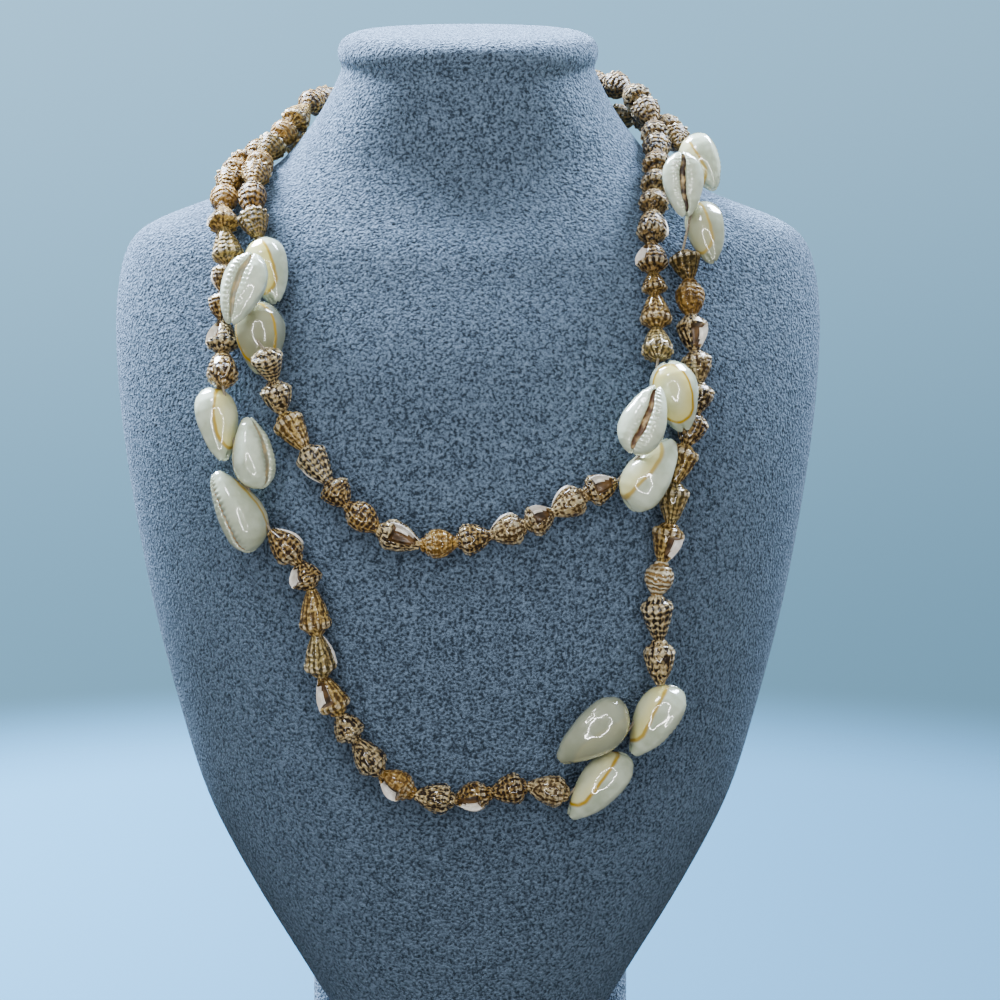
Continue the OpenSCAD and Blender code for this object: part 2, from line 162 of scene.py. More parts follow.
def to_quads(piece):
    """Joins the flat pairs of triangles of a piece."""
    open_up(piece)
    bpy.ops.mesh.select_all(action="SELECT")
    bpy.ops.mesh.tris_convert_to_quads(face_threshold=QUAD_ANGLE, shape_threshold=QUAD_ANGLE)
    close_up()


def apply_all(piece):
    """Applies a piece's place, turn and scale to its points."""
    only(piece)
    bpy.ops.object.transform_apply(location=True, rotation=True, scale=True)


def finish_with(piece, kind, **settings):
    """Adds a modifier and applies it."""
    only(piece)
    modifier = piece.modifiers.new(kind.title(), kind)
    for name, value in settings.items():
        setattr(modifier, name, value)
    bpy.ops.object.modifier_apply(modifier=modifier.name)


def round_x(place):
    """Angle of a point round the X axis, in degrees from +Y over +Z."""
    return math.degrees(math.atan2(place.z, place.y)) % 360


# Material nodes

# Sockets of a colour Mix node, which has others of the same names
MIX_LOW, MIX_HIGH, MIX_RESULT = 6, 7, 2


def new_material(name, roughness, specular=0.5):
    """A new material, its node tree and its shader."""
    material = bpy.data.materials.new(name)
    material.use_nodes = True
    shader = material.node_tree.nodes["Principled BSDF"]
    shader.inputs["Roughness"].default_value = roughness
    shader.inputs["Specular IOR Level"].default_value = specular
    return material, material.node_tree, shader


def connect(tree, value, socket):
    """Links a socket to another one, or sets it to a plain value."""
    if isinstance(value, bpy.types.NodeSocket):
        tree.links.new(value, socket)
    else:
        socket.default_value = value


def add_node(tree, kind, inputs=None, **settings):
    """Adds a node with the given sockets or values at its inputs."""
    node = tree.nodes.new("ShaderNode" + kind)
    for name, value in settings.items():
        setattr(node, name, value)
    for name, value in (inputs or {}).items():
        connect(tree, value, node.inputs[name])
    return node


def maths(tree, operation, *values):
    """A Math node's result."""
    return add_node(tree, "Math", dict(enumerate(values)), operation=operation).outputs[0]


def times(tree, value, factor):
    """value * factor."""
    return maths(tree, "MULTIPLY", value, factor)


def times_plus(tree, value, factor, more):
    """value * factor + more."""
    return maths(tree, "MULTIPLY_ADD", value, factor, more)


def centred(tree, value):
    """A value between 0 and 1, moved to lie round 0."""
    return maths(tree, "SUBTRACT", value, 0.5)


def blend(tree, share, low, high):
    """Goes from one colour to another by a share from 0 to 1."""
    node = add_node(tree, "Mix", {"Factor": share}, data_type="RGBA")
    connect(tree, low, node.inputs[MIX_LOW])
    connect(tree, high, node.inputs[MIX_HIGH])
    return node.outputs[MIX_RESULT]


def spread(tree, value, low, high):
    """How far a value lies between two others, from 0 to 1, softly."""
    inputs = {"Value": value, "From Min": low, "From Max": high}
    return add_node(tree, "MapRange", inputs, interpolation_type="SMOOTHSTEP").outputs[0]


def speckle(tree, place, scale, detail=2, distortion=0.0):
    """Soft noise between 0 and 1."""
    inputs = {"Vector": place, "Scale": scale, "Detail": detail, "Distortion": distortion}
    return add_node(tree, "TexNoise", inputs).outputs["Fac"]


def split(tree, vector):
    """The three parts of a vector."""
    return tuple(add_node(tree, "SeparateXYZ", {0: vector}).outputs)


def object_place(tree):
    """A point's place on its piece, in metres."""
    return add_node(tree, "TexCoord").outputs["Object"]


def kept(tree, name, output):
    """What was kept on the piece's points under a name."""
    return add_node(tree, "Attribute", attribute_name=name).outputs[output]


def own_axes(tree):
    """A point's place in the unit shape that the piece was copied from, and its three parts."""
    place = kept(tree, "own", "Vector")
    return (place, *split(tree, place))


def raise_relief(tree, shader, height, distance, strength=1.0):
    """Gives the shader a bump of a height between 0 and 1, times a distance in metres."""
    inputs = {"Height": height, "Distance": distance, "Strength": strength}
    tree.links.new(add_node(tree, "Bump", inputs).outputs[0], shader.inputs["Normal"])


# Velvet: noise scales of the nap and its tufts, the nap's share in the tone, the tones where it
# is darkest and lightest, and the relief's height
NAP_SCALE, TUFT_SCALE = 1350, 330
NAP_SHARE = 0.88
NAP_DARKEST, NAP_LIGHTEST = 0.31, 0.67
NAP_HEIGHT = 0.0024


def velvet_pile():
    """Short plush: a mottled nap that catches the light where it is seen from the side."""
    material, tree, shader = new_material("velvet_pile", 0.9, 0.1)
    place = object_place(tree)
    nap = speckle(tree, place, NAP_SCALE, 1, 0.3)
    tufts = speckle(tree, place, TUFT_SCALE, 2, 0.4)
    tone = times_plus(tree, nap, NAP_SHARE, times(tree, tufts, 1 - NAP_SHARE))
    colour = blend(tree, spread(tree, tone, NAP_DARKEST, NAP_LIGHTEST),
                   linear(VELVET_DEEP), linear(VELVET_LIGHT))
    tree.links.new(colour, shader.inputs["Base Color"])
    shader.inputs["Sheen Weight"].default_value = 0.38
    shader.inputs["Sheen Roughness"].default_value = 0.4
    shader.inputs["Sheen Tint"].default_value = linear(VELVET_SHEEN)
    raise_relief(tree, shader, tone, NAP_HEIGHT)
    return material


# Small shells: radians of the spiral lines' wave over a shell's length, and how far soft noise
# moves the ribs and the lines, in radians
LINE_WAVE = 46
RIB_WOBBLE, LINE_WOBBLE = 0.6, 11
# Noise scales in the unit shell
WOBBLE_SCALE, SPOT_SCALE, PATCH_SCALE = 2.6, 5, 1.8
# How much ribs, lines and spots count. The sum is all mark below -MARK_EDGE and all ground
# above MARK_EDGE, and the palest spots come in between PALE_FROM and PALE_TO
RIB_WEIGHT, LINE_WEIGHT, SPOT_WEIGHT = 0.4, 0.5, 4.4
MARK_EDGE = 0.25
PALE_FROM, PALE_TO = 0.4, 0.9
# How strong the patches, the palest spots and the crown get
PATCH_SHARE, PALE_SHARE, CROWN_SHARE = 0.6, 0.6, 0.65
CROWN_FADE_FROM, CROWN_FADE_TO = 0.04, 0.08
DULL_ROUGHNESS, POLISHED_ROUGHNESS = 0.56, 0.26
POLISHED_COAT = 0.75
LINE_HEIGHT, SPOT_HEIGHT = 0.7, 1.6
PATTERN_HEIGHT = 0.0008


def whelk_glaze():
    """Ribs, spiral lines and spots of a small shell, in the two colours kept on its points."""
    material, tree, shader = new_material("whelk_glaze", POLISHED_ROUGHNESS, 0.15)
    own, along, side, up = own_axes(tree)
    place = add_node(tree, "VectorMath", {0: own, 1: kept(tree, "shift", "Vector")},
                     operation="ADD").outputs[0]
    ribs, lines, dots = split(tree, kept(tree, "marks", "Vector"))
    wobble = centred(tree, speckle(tree, place, WOBBLE_SCALE, 3))
    angle = times_plus(tree, wobble, RIB_WOBBLE, maths(tree, "ARCTAN2", up, side))
    rib = maths(tree, "COSINE", times(tree, angle, SHELL_SIDES / 2))
    turn = times_plus(tree, wobble, LINE_WOBBLE, times(tree, along, LINE_WAVE))
    line = maths(tree, "SINE", turn)
    spots = centred(tree, speckle(tree, place, SPOT_SCALE, 3))
    light = times(tree, rib, times(tree, ribs, RIB_WEIGHT))
    light = times_plus(tree, line, times(tree, lines, LINE_WEIGHT), light)
    light = times_plus(tree, spots, times(tree, dots, SPOT_WEIGHT), light)
    # Golden patches in the ground, then the marks on it, then the palest spots
    patch = spread(tree, speckle(tree, place, PATCH_SCALE, 1), 0.38, 0.62)
    ground = blend(tree, times(tree, patch, PATCH_SHARE), kept(tree, "ground", "Color"),
                   linear(SHELL_PATCH))
    colour = blend(tree, spread(tree, light, -MARK_EDGE, MARK_EDGE),
                   kept(tree, "mark", "Color"), ground)
    pale = spread(tree, light, PALE_FROM, PALE_TO)
    colour = blend(tree, times(tree, pale, PALE_SHARE), colour, linear(SHELL_PALE))
    # The crown of ribs round the widest whorl is pale too
    crown = maths(tree, "ABSOLUTE", maths(tree, "SUBTRACT", along, CROWN_PLACE))
    crown = times(tree, spread(tree, crown, CROWN_FADE_TO, CROWN_FADE_FROM),
                  spread(tree, rib, -0.1, 0.5))
    colour = blend(tree, times(tree, crown, CROWN_SHARE), colour, linear(SHELL_CROWN))
    tree.links.new(colour, shader.inputs["Base Color"])
    polish = kept(tree, "polish", "Fac")
    roughness = times_plus(tree, polish, POLISHED_ROUGHNESS - DULL_ROUGHNESS, DULL_ROUGHNESS)
    tree.links.new(roughness, shader.inputs["Roughness"])
    tree.links.new(times(tree, polish, POLISHED_COAT), shader.inputs["Coat Weight"])
    shader.inputs["Coat Roughness"].default_value = 0.05
    relief = times_plus(tree, line, LINE_HEIGHT, times(tree, spots, SPOT_HEIGHT))
    raise_relief(tree, shader, relief, PATTERN_HEIGHT)
    return material


def plain_glaze(name, low, high, scale, roughness):
    """A smooth glaze that goes softly between two colours."""
    material, tree, shader = new_material(name, roughness)
    tone = speckle(tree, object_place(tree), scale, 3)
    colour = blend(tree, spread(tree, tone, 0.35, 0.65), linear(low), linear(high))
    tree.links.new(colour, shader.inputs["Base Color"])
    raise_relief(tree, shader, tone, 0.0001, 0.4)
    return material


# The coloured dome on a cowrie's back, an ellipse in the unit cowrie
DOME_HALF_WIDTH = 0.25
DOME_HALF_LENGTH = 0.4
DOME_BACKWARD = 0.02
# How far noise moves the dome's edge, how strong its tint is in the middle and how much more
# at the edge, and how thin the ring is
DOME_WOBBLE = 0.2
DOME_TINT, DOME_TINT_MORE = 0.4, 0.5
RING_FADE_FROM, RING_FADE_TO = 0.02, 0.085


def cowrie_glaze():
    """White porcelain with a cream dome and its golden ring on the back."""
    material, tree, shader = new_material("cowrie_glaze", 0.2)
    place, along, side, up = own_axes(tree)
    across = maths(tree, "DIVIDE", side, DOME_HALF_WIDTH)
    length = maths(tree, "DIVIDE", maths(tree, "ADD", along, DOME_BACKWARD), DOME_HALF_LENGTH)
    reach = maths(tree, "SQRT", maths(tree, "ADD", times(tree, across, across),
                                      times(tree, length, length)))
    wobble = centred(tree, speckle(tree, place, 3, 2))
    reach = times_plus(tree, wobble, DOME_WOBBLE, reach)
    on_back = spread(tree, up, 0.0, 0.06)
    inside = times(tree, spread(tree, reach, 1.04, 0.96), on_back)
    colour = blend(tree, spread(tree, speckle(tree, place, 4, 3), 0.3, 0.7),
                   linear(PORCELAIN_LIGHT), linear(PORCELAIN_SHADE))
    # The dome is strongest near its ring
    tint = times_plus(tree, spread(tree, reach, 0.35, 1.0), DOME_TINT_MORE, DOME_TINT)
    colour = blend(tree, times(tree, inside, tint), colour, kept(tree, "dome", "Color"))
    # Painted shade: some cowries are darkened towards olive grey
    colour = blend(tree, kept(tree, "painted_shade", "Fac"), colour, linear(PORCELAIN_PAINTED_SHADE))
    # The ring is broken where the patches are low
    from_edge = maths(tree, "ABSOLUTE", maths(tree, "SUBTRACT", reach, 1))
    ring = times(tree, spread(tree, from_edge, RING_FADE_TO, RING_FADE_FROM), on_back)
    patchy = spread(tree, speckle(tree, place, 2.2, 1), 0.24, 0.4)
    ring = times(tree, ring, times(tree, patchy, kept(tree, "ring", "Fac")))
    colour = blend(tree, ring, colour, linear(COWRIE_RING))
    tree.links.new(colour, shader.inputs["Base Color"])
    shader.inputs["Coat Weight"].default_value = 1.0
    shader.inputs["Coat Roughness"].default_value = 0.03
    shader.inputs["Coat IOR"].default_value = 1.8
    shader.inputs["Subsurface Weight"].default_value = 0.08
    shader.inputs["Subsurface Radius"].default_value = (0.002, 0.0015, 0.001)
    raise_relief(tree, shader, speckle(tree, place, 14, 3), 0.00005, 0.3)
    return material


def slit_glaze():
    """The inside of a cowrie's slit, in the colour kept on its points."""
    material, tree, shader = new_material("cowrie_slit", 0.45)
    tone = speckle(tree, kept(tree, "own", "Vector"), 9, 3)
    # The darker slit colours are partly the slit's own and partly painted shade in its depth
    colour = blend(tree, spread(tree, tone, 0.42, 0.85), kept(tree, "slit", "Color"),
                   linear(TOOTH_TONE))
    tree.links.new(colour, shader.inputs["Base Color"])
    return material


def cotton_twist():
    """Twisted cotton, a little fuzzy."""
    material, tree, shader = new_material("cotton_twist", 0.8, 0.2)
    strand = speckle(tree, object_place(tree), 2400, 2, 1)
    colour = blend(tree, spread(tree, strand, 0.3, 0.7), linear(COTTON_SHADE),
                   linear(COTTON_LIGHT))
    tree.links.new(colour, shader.inputs["Base Color"])
    raise_relief(tree, shader, strand, 0.0002, 0.8)
    return material


VELVET = velvet_pile()
WHELK = whelk_glaze()
WHELK_LIP = plain_glaze("whelk_lip", LIP_SHADE, LIP_LIGHT, 500, 0.25)
WHELK_MOUTH = plain_glaze("whelk_mouth", MOUTH_SHADE, MOUTH_LIGHT, 400, 0.3)
COWRIE = cowrie_glaze()
COWRIE_SLIT = slit_glaze()
COTTON = cotton_twist()


# The unit shells

# Along a small shell from its spire: [place, radius]
WHELK_OUTLINE = [
    [0.00, 0.32], [0.02, 0.42], [0.05, 0.53], [0.085, 0.59], [0.11, 0.57], [0.14, 0.71],
    [0.18, 0.83], [0.215, 0.85], [0.25, 0.94], [0.31, 0.99], [0.38, 1.00], [0.45, 0.98],
    [0.53, 0.93], [0.61, 0.86], [0.69, 0.77], [0.77, 0.66], [0.85, 0.54], [0.92, 0.43],
    [0.97, 0.36], [1.00, 0.31],
]
CONE_OUTLINE = [
    [0.00, 0.32], [0.02, 0.43], [0.05, 0.56], [0.085, 0.65], [0.11, 0.65], [0.14, 0.79],
    [0.18, 0.92], [0.215, 0.97], [0.25, 0.99], [0.31, 0.98], [0.38, 0.95], [0.45, 0.91],
    [0.53, 0.85], [0.61, 0.78], [0.69, 0.70], [0.77, 0.61], [0.85, 0.52], [0.92, 0.43],
    [0.97, 0.37], [1.00, 0.33],
]
MOON_OUTLINE = [
    [0.00, 0.28], [0.02, 0.38], [0.05, 0.48], [0.09, 0.54], [0.115, 0.50], [0.15, 0.64],
    [0.20, 0.76], [0.235, 0.74], [0.28, 0.88], [0.34, 0.98], [0.42, 1.00], [0.50, 1.00],
    [0.58, 0.97], [0.66, 0.90], [0.74, 0.79], [0.81, 0.67], [0.87, 0.55], [0.93, 0.44],
    [0.98, 0.37], [1.00, 0.32],
]
# Every other column of points is a rib, higher round the crown
RIB_SPAN = (0.1, 0.9)
CROWN_SPAN = (0.17, 0.33)
CROWN_RIB = 0.7
# The mouth lies between two angles round the shell, and sinks in by steps: [move, scale, centre]
MOUTH_SPAN = (0.32, 0.9)
MOUTH_ANGLES = (194, 256)
MOUTH_STEPS = [
    [(0, 0.08, 0.1), (0.9, 0.9, 0.9), (0.6, -0.45, -0.5)],
    [(0.02, 0.22, 0.28), (0.85, 0.75, 0.75), (0.6, -0.2, -0.25)],
]
# The lip is drawn out of the column beside the mouth: [share of its reach, how far it curls]
LIP_SPAN = (0.26, 0.97)
LIP_ANGLES = (180, 191)
LIP_STEPS = [[0.5, 0.12], [0.5, 0.3]]
LIP_ROOT = 0.25
LIP_LENGTH = 0.15
# Its first step off the shell, how blunt its ends are, and how far its bow leans to the spire
LIP_NUDGE = 0.001
LIP_BLUNTNESS = 0.02
LIP_LEAN = 0.8
# Edges sharper than this stay sharp
WHORL_ANGLE = math.radians(55)
# Places of the lip's and the mouth's materials in the list, after the glaze
LIP, MOUTH = 1, 2


def turned_form(name, outline):
    """A closed turned form along X, extruded ring by ring and left open for editing."""
    bpy.ops.object.select_all(action="DESELECT")
    bpy.ops.mesh.primitive_circle_add(
        vertices=SHELL_SIDES, radius=outline[0][1], fill_type="NGON",
        location=(0, 0, 0), rotation=(0, math.pi / 2, 0))
    shell = bpy.context.object
    shell.name = name
    apply_all(shell)
    open_up(shell)
    bpy.ops.mesh.select_all(action="SELECT")
    for (at, radius), (after, wider) in zip(outline, outline[1:]):
        extrude((after - at, 0, 0))
        stretch(1, wider / radius, wider / radius, (after, 0, 0))
    return shell


def raise_ribs(shell, span, height):
    """Moves every other column of points out, over a span of the shell."""
    step = 360 / SHELL_SIDES
    pick(shell, "VERT", lambda p: span[0] < p.x < span[1] and round(round_x(p) / step) % 2 == 0)
    stretch(1, 1 + height, 1 + height)


def sink_mouth(shell):
    """Sinks the mouth in beside the place of the lip."""
    pick(shell, "FACE", lambda p: MOUTH_SPAN[0] < p.x < MOUTH_SPAN[1]
         and MOUTH_ANGLES[0] < round_x(p) < MOUTH_ANGLES[1])
    for move, scale, centre in MOUTH_STEPS:
        extrude(move)
        stretch(*scale, centre)
    bpy.ops.mesh.select_more()
    paint(shell, MOUTH)


def draw_lip(shell):
    """Draws the lip out, farthest in its middle."""
    low, high = LIP_SPAN
    pick(shell, "FACE", lambda p: low < p.x < high and p.yz.length > LIP_ROOT
         and LIP_ANGLES[0] < round_x(p) < LIP_ANGLES[1])
    for reach, curl in LIP_STEPS:
        extrude((0, -LIP_NUDGE, 0))
        paint(shell, LIP)
        shape = bmesh.from_edit_mesh(shell.data)
        for point in (v for v in shape.verts if v.select):
            share = (point.co.x - low) / (high - low)
            share = min(max(share, LIP_BLUNTNESS), 1 - LIP_BLUNTNESS)
            bow = math.sin(math.pi * share ** LIP_LEAN)
            point.co.y -= LIP_LENGTH * reach * bow
            point.co.z -= LIP_LENGTH * curl * bow
        bmesh.update_edit_mesh(shell.data)
    bpy.ops.mesh.select_more()
    paint(shell, LIP)


def unit_shell(name, outline, rib):
    """A small shell with whorls, ribs, a mouth and its lip. Its back faces +Z, spire at 0."""
    shell = turned_form(name, outline)
    raise_ribs(shell, RIB_SPAN, rib)
    raise_ribs(shell, CROWN_SPAN, CROWN_RIB * rib)
    for material in (WHELK, WHELK_LIP, WHELK_MOUTH):
        shell.data.materials.append(material)
    sink_mouth(shell)
    draw_lip(shell)
    bpy.ops.mesh.select_all(action="SELECT")
    bpy.ops.mesh.normals_make_consistent(inside=False)
    close_up()
    bpy.ops.object.shade_smooth_by_angle(angle=WHORL_ANGLE)
    keep_own_place(shell)
    return shell


def keep_own_place(piece):
    """Keeps each point's place in the unit shape, which the materials read."""
    own = piece.data.attributes.new("own", "FLOAT_VECTOR", "POINT")
    for point in piece.data.vertices:
        own.data[point.index].vector = point.co


def keep_on_points(piece, name, kind, value):
    """Keeps one value on all points of a piece, under a name that the materials read."""
    values = piece.data.attributes.new(name, kind, "POINT").data
    field = {"FLOAT": "value", "FLOAT_VECTOR": "vector", "FLOAT_COLOR": "color"}[kind]
    for entry in values:
        setattr(entry, field, value)


# Along a cowrie from its broad end: [place, half width, back, belly]
COWRIE_SECTIONS = [
    [0.0, 0.16, 0.12, 0.24], [0.03, 0.42, 0.38, 0.5], [0.1, 0.7, 0.68, 0.78],
    [0.21, 0.91, 0.91, 0.94], [0.34, 1.0, 1.0, 1.0], [0.48, 0.98, 0.97, 1.0],
    [0.62, 0.88, 0.83, 0.95], [0.76, 0.72, 0.62, 0.85], [0.88, 0.53, 0.4, 0.68],
    [0.96, 0.35, 0.22, 0.48], [1.0, 0.2, 0.12, 0.3],
]
# It is modelled on a ball of length 1, from rings and columns of points
BALL_RADIUS = 0.5
COWRIE_RINGS = 44
COWRIE_SIDES = 40
SIDE_ANGLE = 360 / COWRIE_SIDES
# Points this near to a ring lie in it, and points this near to the side are neither back nor belly
RING_NEAR, SIDE_NEAR = 0.0005, 0.0001

# Teeth: columns of points beside the belly's middle, and how far they stand out or in
TOOTH_COLUMNS = [((-1, 1), 0.1), ((2,), 0.14), ((3,), 0.12), ((4,), 0.06), ((-2,), 0.06)]
TOOTH_REACH = 0.44
# The slit: half its length, how its edge and then its floor sink and narrow, its width at a
# tooth and between two teeth, and the share of the ball's radius beyond which a point is an edge
SLIT_REACH = 0.475
SLIT_EDGE_SINK = 0.94
SLIT_SINKS = (0.86, 0.6)
SLIT_NARROWING = 0.9
SLIT_AT_TOOTH, SLIT_AT_GAP = 1.1, 1.85
SLIT_EDGE = 0.78
# The belly lies below this depth. Its flanks, beside the slit, are made fuller, and the slit's
# middle bends, with its surroundings
BELLY_DEPTH = 0.03
FLANK_FROM, FLANK_REACH, FLANK_SCALE = 0.12, 0.4, (1, 1.05, 1.1)
BEND_WIDTH, BEND_REACH, BEND_FALLOFF = 0.07, 0.16, 0.24
SLIT_BEND = 0.045
# A notch in each end: [where it starts, half its width, how much of the end is left]
NOTCHES = [[0.4, 0.022, 0.5], [-0.44, 0.026, 0.4]]
# Place of the slit's material in the list, after the glaze
SLIT = 1


def section_at(t):
    """Half width, back and belly at a share of a cowrie's length."""
    t = min(max(t, 0.0), 1.0)
    for low, high in zip(COWRIE_SECTIONS, COWRIE_SECTIONS[1:]):
        if t <= high[0]:
            share = (t - low[0]) / (high[0] - low[0])
            return [a + (b - a) * share for a, b in zip(low[1:], high[1:])]
    return COWRIE_SECTIONS[-1][1:]


def ring_radius(p):
    """Radius of the ball's ring that a place lies in."""
    return math.sqrt(max(BALL_RADIUS ** 2 - p.x * p.x, 0.0001))


def belly_angle(p):
    """Angle round the X axis from the belly's middle, in degrees."""
    return math.degrees(math.atan2(p.y, -p.z))


def column(p):
    """Number of the column of points that a place on the ball lies in, from the belly's middle."""
    return round(belly_angle(p) / SIDE_ANGLE)


def on_tooth(p):
    """Every other ring of points is a tooth."""
    ring = round(math.acos(max(-1, min(1, -p.x / BALL_RADIUS))) / math.pi * COWRIE_RINGS)
    return ring % 2 == 0


def carve_slit(ball):
    """Teeth on both sides of the belly's middle and the slit between them, still on the ball."""
    for columns, height in TOOTH_COLUMNS:
        for stands in (True, False):
            pick(ball, "VERT", lambda p: column(p) in columns and abs(p.x) < TOOTH_REACH
                 and on_tooth(p) == stands)
            stretch(1, *[1 + (height if stands else -height)] * 2)
    pick(ball, "VERT", lambda p: abs(column(p)) <= 1 and abs(p.x) < SLIT_REACH)
    stretch(1, SLIT_EDGE_SINK, SLIT_EDGE_SINK)
    pick(ball, "FACE", lambda p: p.z < 0 and abs(p.x) < SLIT_REACH
         and abs(belly_angle(p)) < SIDE_ANGLE)
    for sink in SLIT_SINKS:
        extrude()
        stretch(1, SLIT_NARROWING, sink)
    bpy.ops.mesh.select_more()
    paint(ball, SLIT)
    # The slit's edge follows the teeth
    for stands, wide in ((True, SLIT_AT_TOOTH), (False, SLIT_AT_GAP)):
        pick(ball, "VERT", lambda p: abs(column(p)) == 1 and abs(p.x) < TOOTH_REACH
             and on_tooth(p) == stands and p.yz.length > SLIT_EDGE * ring_radius(p))
        stretch(1, wide, 1)


def shape_rings(cowrie):
    """Gives each ring of the ball its width, back and belly from the sections."""
    for ring in range(1, COWRIE_RINGS):
        x = -BALL_RADIUS * math.cos(math.pi * ring / COWRIE_RINGS)
        radius = math.sqrt(BALL_RADIUS ** 2 - x * x)
        width, back, belly = section_at(x + BALL_RADIUS)
        pick(cowrie, "VERT", lambda p: abs(p.x - x) < RING_NEAR)
        stretch(1, COWRIE_WIDTH / 2 * width / radius, 1, (x, 0, 0))
        for side, height in ((1, COWRIE_BACK * back), (-1, COWRIE_BELLY * belly)):
            pick(cowrie, "VERT", lambda p: abs(p.x - x) < RING_NEAR and side * p.z > SIDE_NEAR)
            stretch(1, 1, height / radius, (x, 0, 0))


def unit_cowrie():
    """A cowrie with its toothed slit. Its broad end is at -X and its back up."""
    bpy.ops.object.select_all(action="DESELECT")
    bpy.ops.mesh.primitive_uv_sphere_add(
        segments=COWRIE_SIDES, ring_count=COWRIE_RINGS, radius=BALL_RADIUS,
        location=(0, 0, 0), rotation=(0, math.pi / 2, 0))
    cowrie = bpy.context.object
    cowrie.name = "unit_cowrie"
    for material in (COWRIE, COWRIE_SLIT):
        cowrie.data.materials.append(material)
    apply_all(cowrie)
    open_up(cowrie)
    carve_slit(cowrie)
    shape_rings(cowrie)
    pick(cowrie, "VERT", lambda p: p.z < -BELLY_DEPTH and abs(p.y) > FLANK_FROM
         and abs(p.x) < FLANK_REACH)
    stretch(*FLANK_SCALE)
    pick(cowrie, "VERT", lambda p: p.z < -BELLY_DEPTH and abs(p.y) < BEND_WIDTH
         and abs(p.x) < BEND_REACH)
    bpy.ops.transform.translate(
        value=(0, SLIT_BEND, 0), use_proportional_edit=True,
        proportional_edit_falloff="SMOOTH", proportional_size=BEND_FALLOFF)
    for start, half, left in NOTCHES:
        end = math.copysign(1, start)
        pick(cowrie, "VERT", lambda p: end * p.x > abs(start) and abs(p.y) < half)
        stretch(left, 1, 1, (start, 0, 0))
    close_up()
    finish_with(cowrie, "SUBSURF", levels=1, render_levels=1)
    bpy.ops.object.shade_smooth()
    keep_own_place(cowrie)
    return cowrie


# Copies of unit shapes and of CAD nodes

def copy_of(unit, name, place):
    """A copy of a unit shape with its own mesh, moved by a matrix."""
    piece = unit.copy()
    piece.data = unit.data.copy()
    piece.name = name
    piece.data.name = name
    bpy.context.scene.collection.objects.link(piece)
    piece.data.transform(place)
    return piece


def axes_matrix(at, along, up, size):
    """The matrix that puts +X along `along` and +Z towards `up`, and scales by size."""
    x = along.normalized()
    y = up.cross(x).normalized()
    z = x.cross(y)
    turn = Matrix((x, y, z)).transposed().to_4x4()
    return Matrix.Translation(at) @ turn @ Matrix.Diagonal((*size, 1))


def merged_copy(node, name):
    """A copy of a CAD node's mesh with its loose triangles joined."""
    piece = frame["nodes"][node].copy()
    piece.data = piece.data.copy()
    piece.name = name
    piece.data.name = name
    piece.parent = None
    bpy.context.scene.collection.objects.link(piece)
    piece.data.materials.clear()
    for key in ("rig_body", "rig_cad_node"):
        if key in piece:
            del piece[key]
    open_up(piece)
    bpy.ops.mesh.select_all(action="SELECT")
    bpy.ops.mesh.remove_doubles(threshold=MERGE_GAP)
    close_up()
    return piece


def islands(piece):
    """The points of each loose part of a mesh, in the order in which the mesh holds them."""
    shape = bmesh.new()
    shape.from_mesh(piece.data)
    shape.verts.ensure_lookup_table()
    seen = set()
    parts = []
    for first in shape.verts:
        if first.index in seen:
            continue
        seen.add(first.index)
        queue = [first]
        part = []
        while queue:
            point = queue.pop()
            part.append(point.co.copy())
            for edge in point.link_edges:
                other = edge.other_vert(point)
                if other.index not in seen:
                    seen.add(other.index)
                    queue.append(other)
        parts.append(part)
    shape.free()
    return parts


def main_axis(points):
    """The middle of a cloud of points, and its longest direction."""
    middle = sum(points, Vector()) / len(points)
    scatter = Matrix([[sum((p - middle)[i] * (p - middle)[j] for p in points)
                       for j in range(3)] for i in range(3)])
    # Any start that isn't square to the longest direction turns towards it
    axis = Vector((0.3, 0.5, 0.8))
    for _ in range(60):
        axis = (scatter @ axis).normalized()
    return middle, axis


# A point is at the widest place of a turned shell from this share of the radius
WIDEST_SHARE = 0.97


def shell_frame(points):
    """Spire end, direction to the narrow end, length and radius of a turned CAD shell."""
    middle, axis = main_axis(points)
    along = [(p - middle).dot(axis) for p in points]
    radii = [((p - middle) - axis * d).length for p, d in zip(points, along)]
    low, high, radius = min(along), max(along), max(radii)
    # The widest place is in the half next to the spire
    widest = [d for d, r in zip(along, radii) if r > WIDEST_SHARE * radius]
    if sum(widest) / len(widest) > (low + high) / 2:
        axis, low, high = -axis, -high, -low
    return middle + axis * low, axis, high - low, radius


# Looks of the small shells: form, ground colour, mark colour, strength of ribs, lines and spots
LOOKS = {
    "walnut": ("whelk", "B29256", "342210", (0.8, 0.7, 0.8)),
    "zebra": ("cone", "CBB788", "241A10", (1.0, 0.9, 0.4)),
    "gold": ("cone", "CFAE62", "5E4418", (0.8, 0.4, 0.7)),
    "amber": ("moon", "CBA354", "7C581E", (0.5, 0.4, 0.8)),
    "sand": ("whelk", "D4BC8A", "523C1E", (0.6, 0.5, 1.0)),
    "spotted": ("whelk", "D0B884", "2E2012", (0.4, 0.5, 1.3)),
    "olive": ("cone", "B8A468", "544622", (1.0, 0.3, 0.6)),
    "banded": ("moon", "E8DFC0", "8C6E3C", (0.1, 1.1, 0.3)),
    "chestnut": ("moon", "AE8A44", "3A260F", (0.7, 0.7, 0.7)),
}
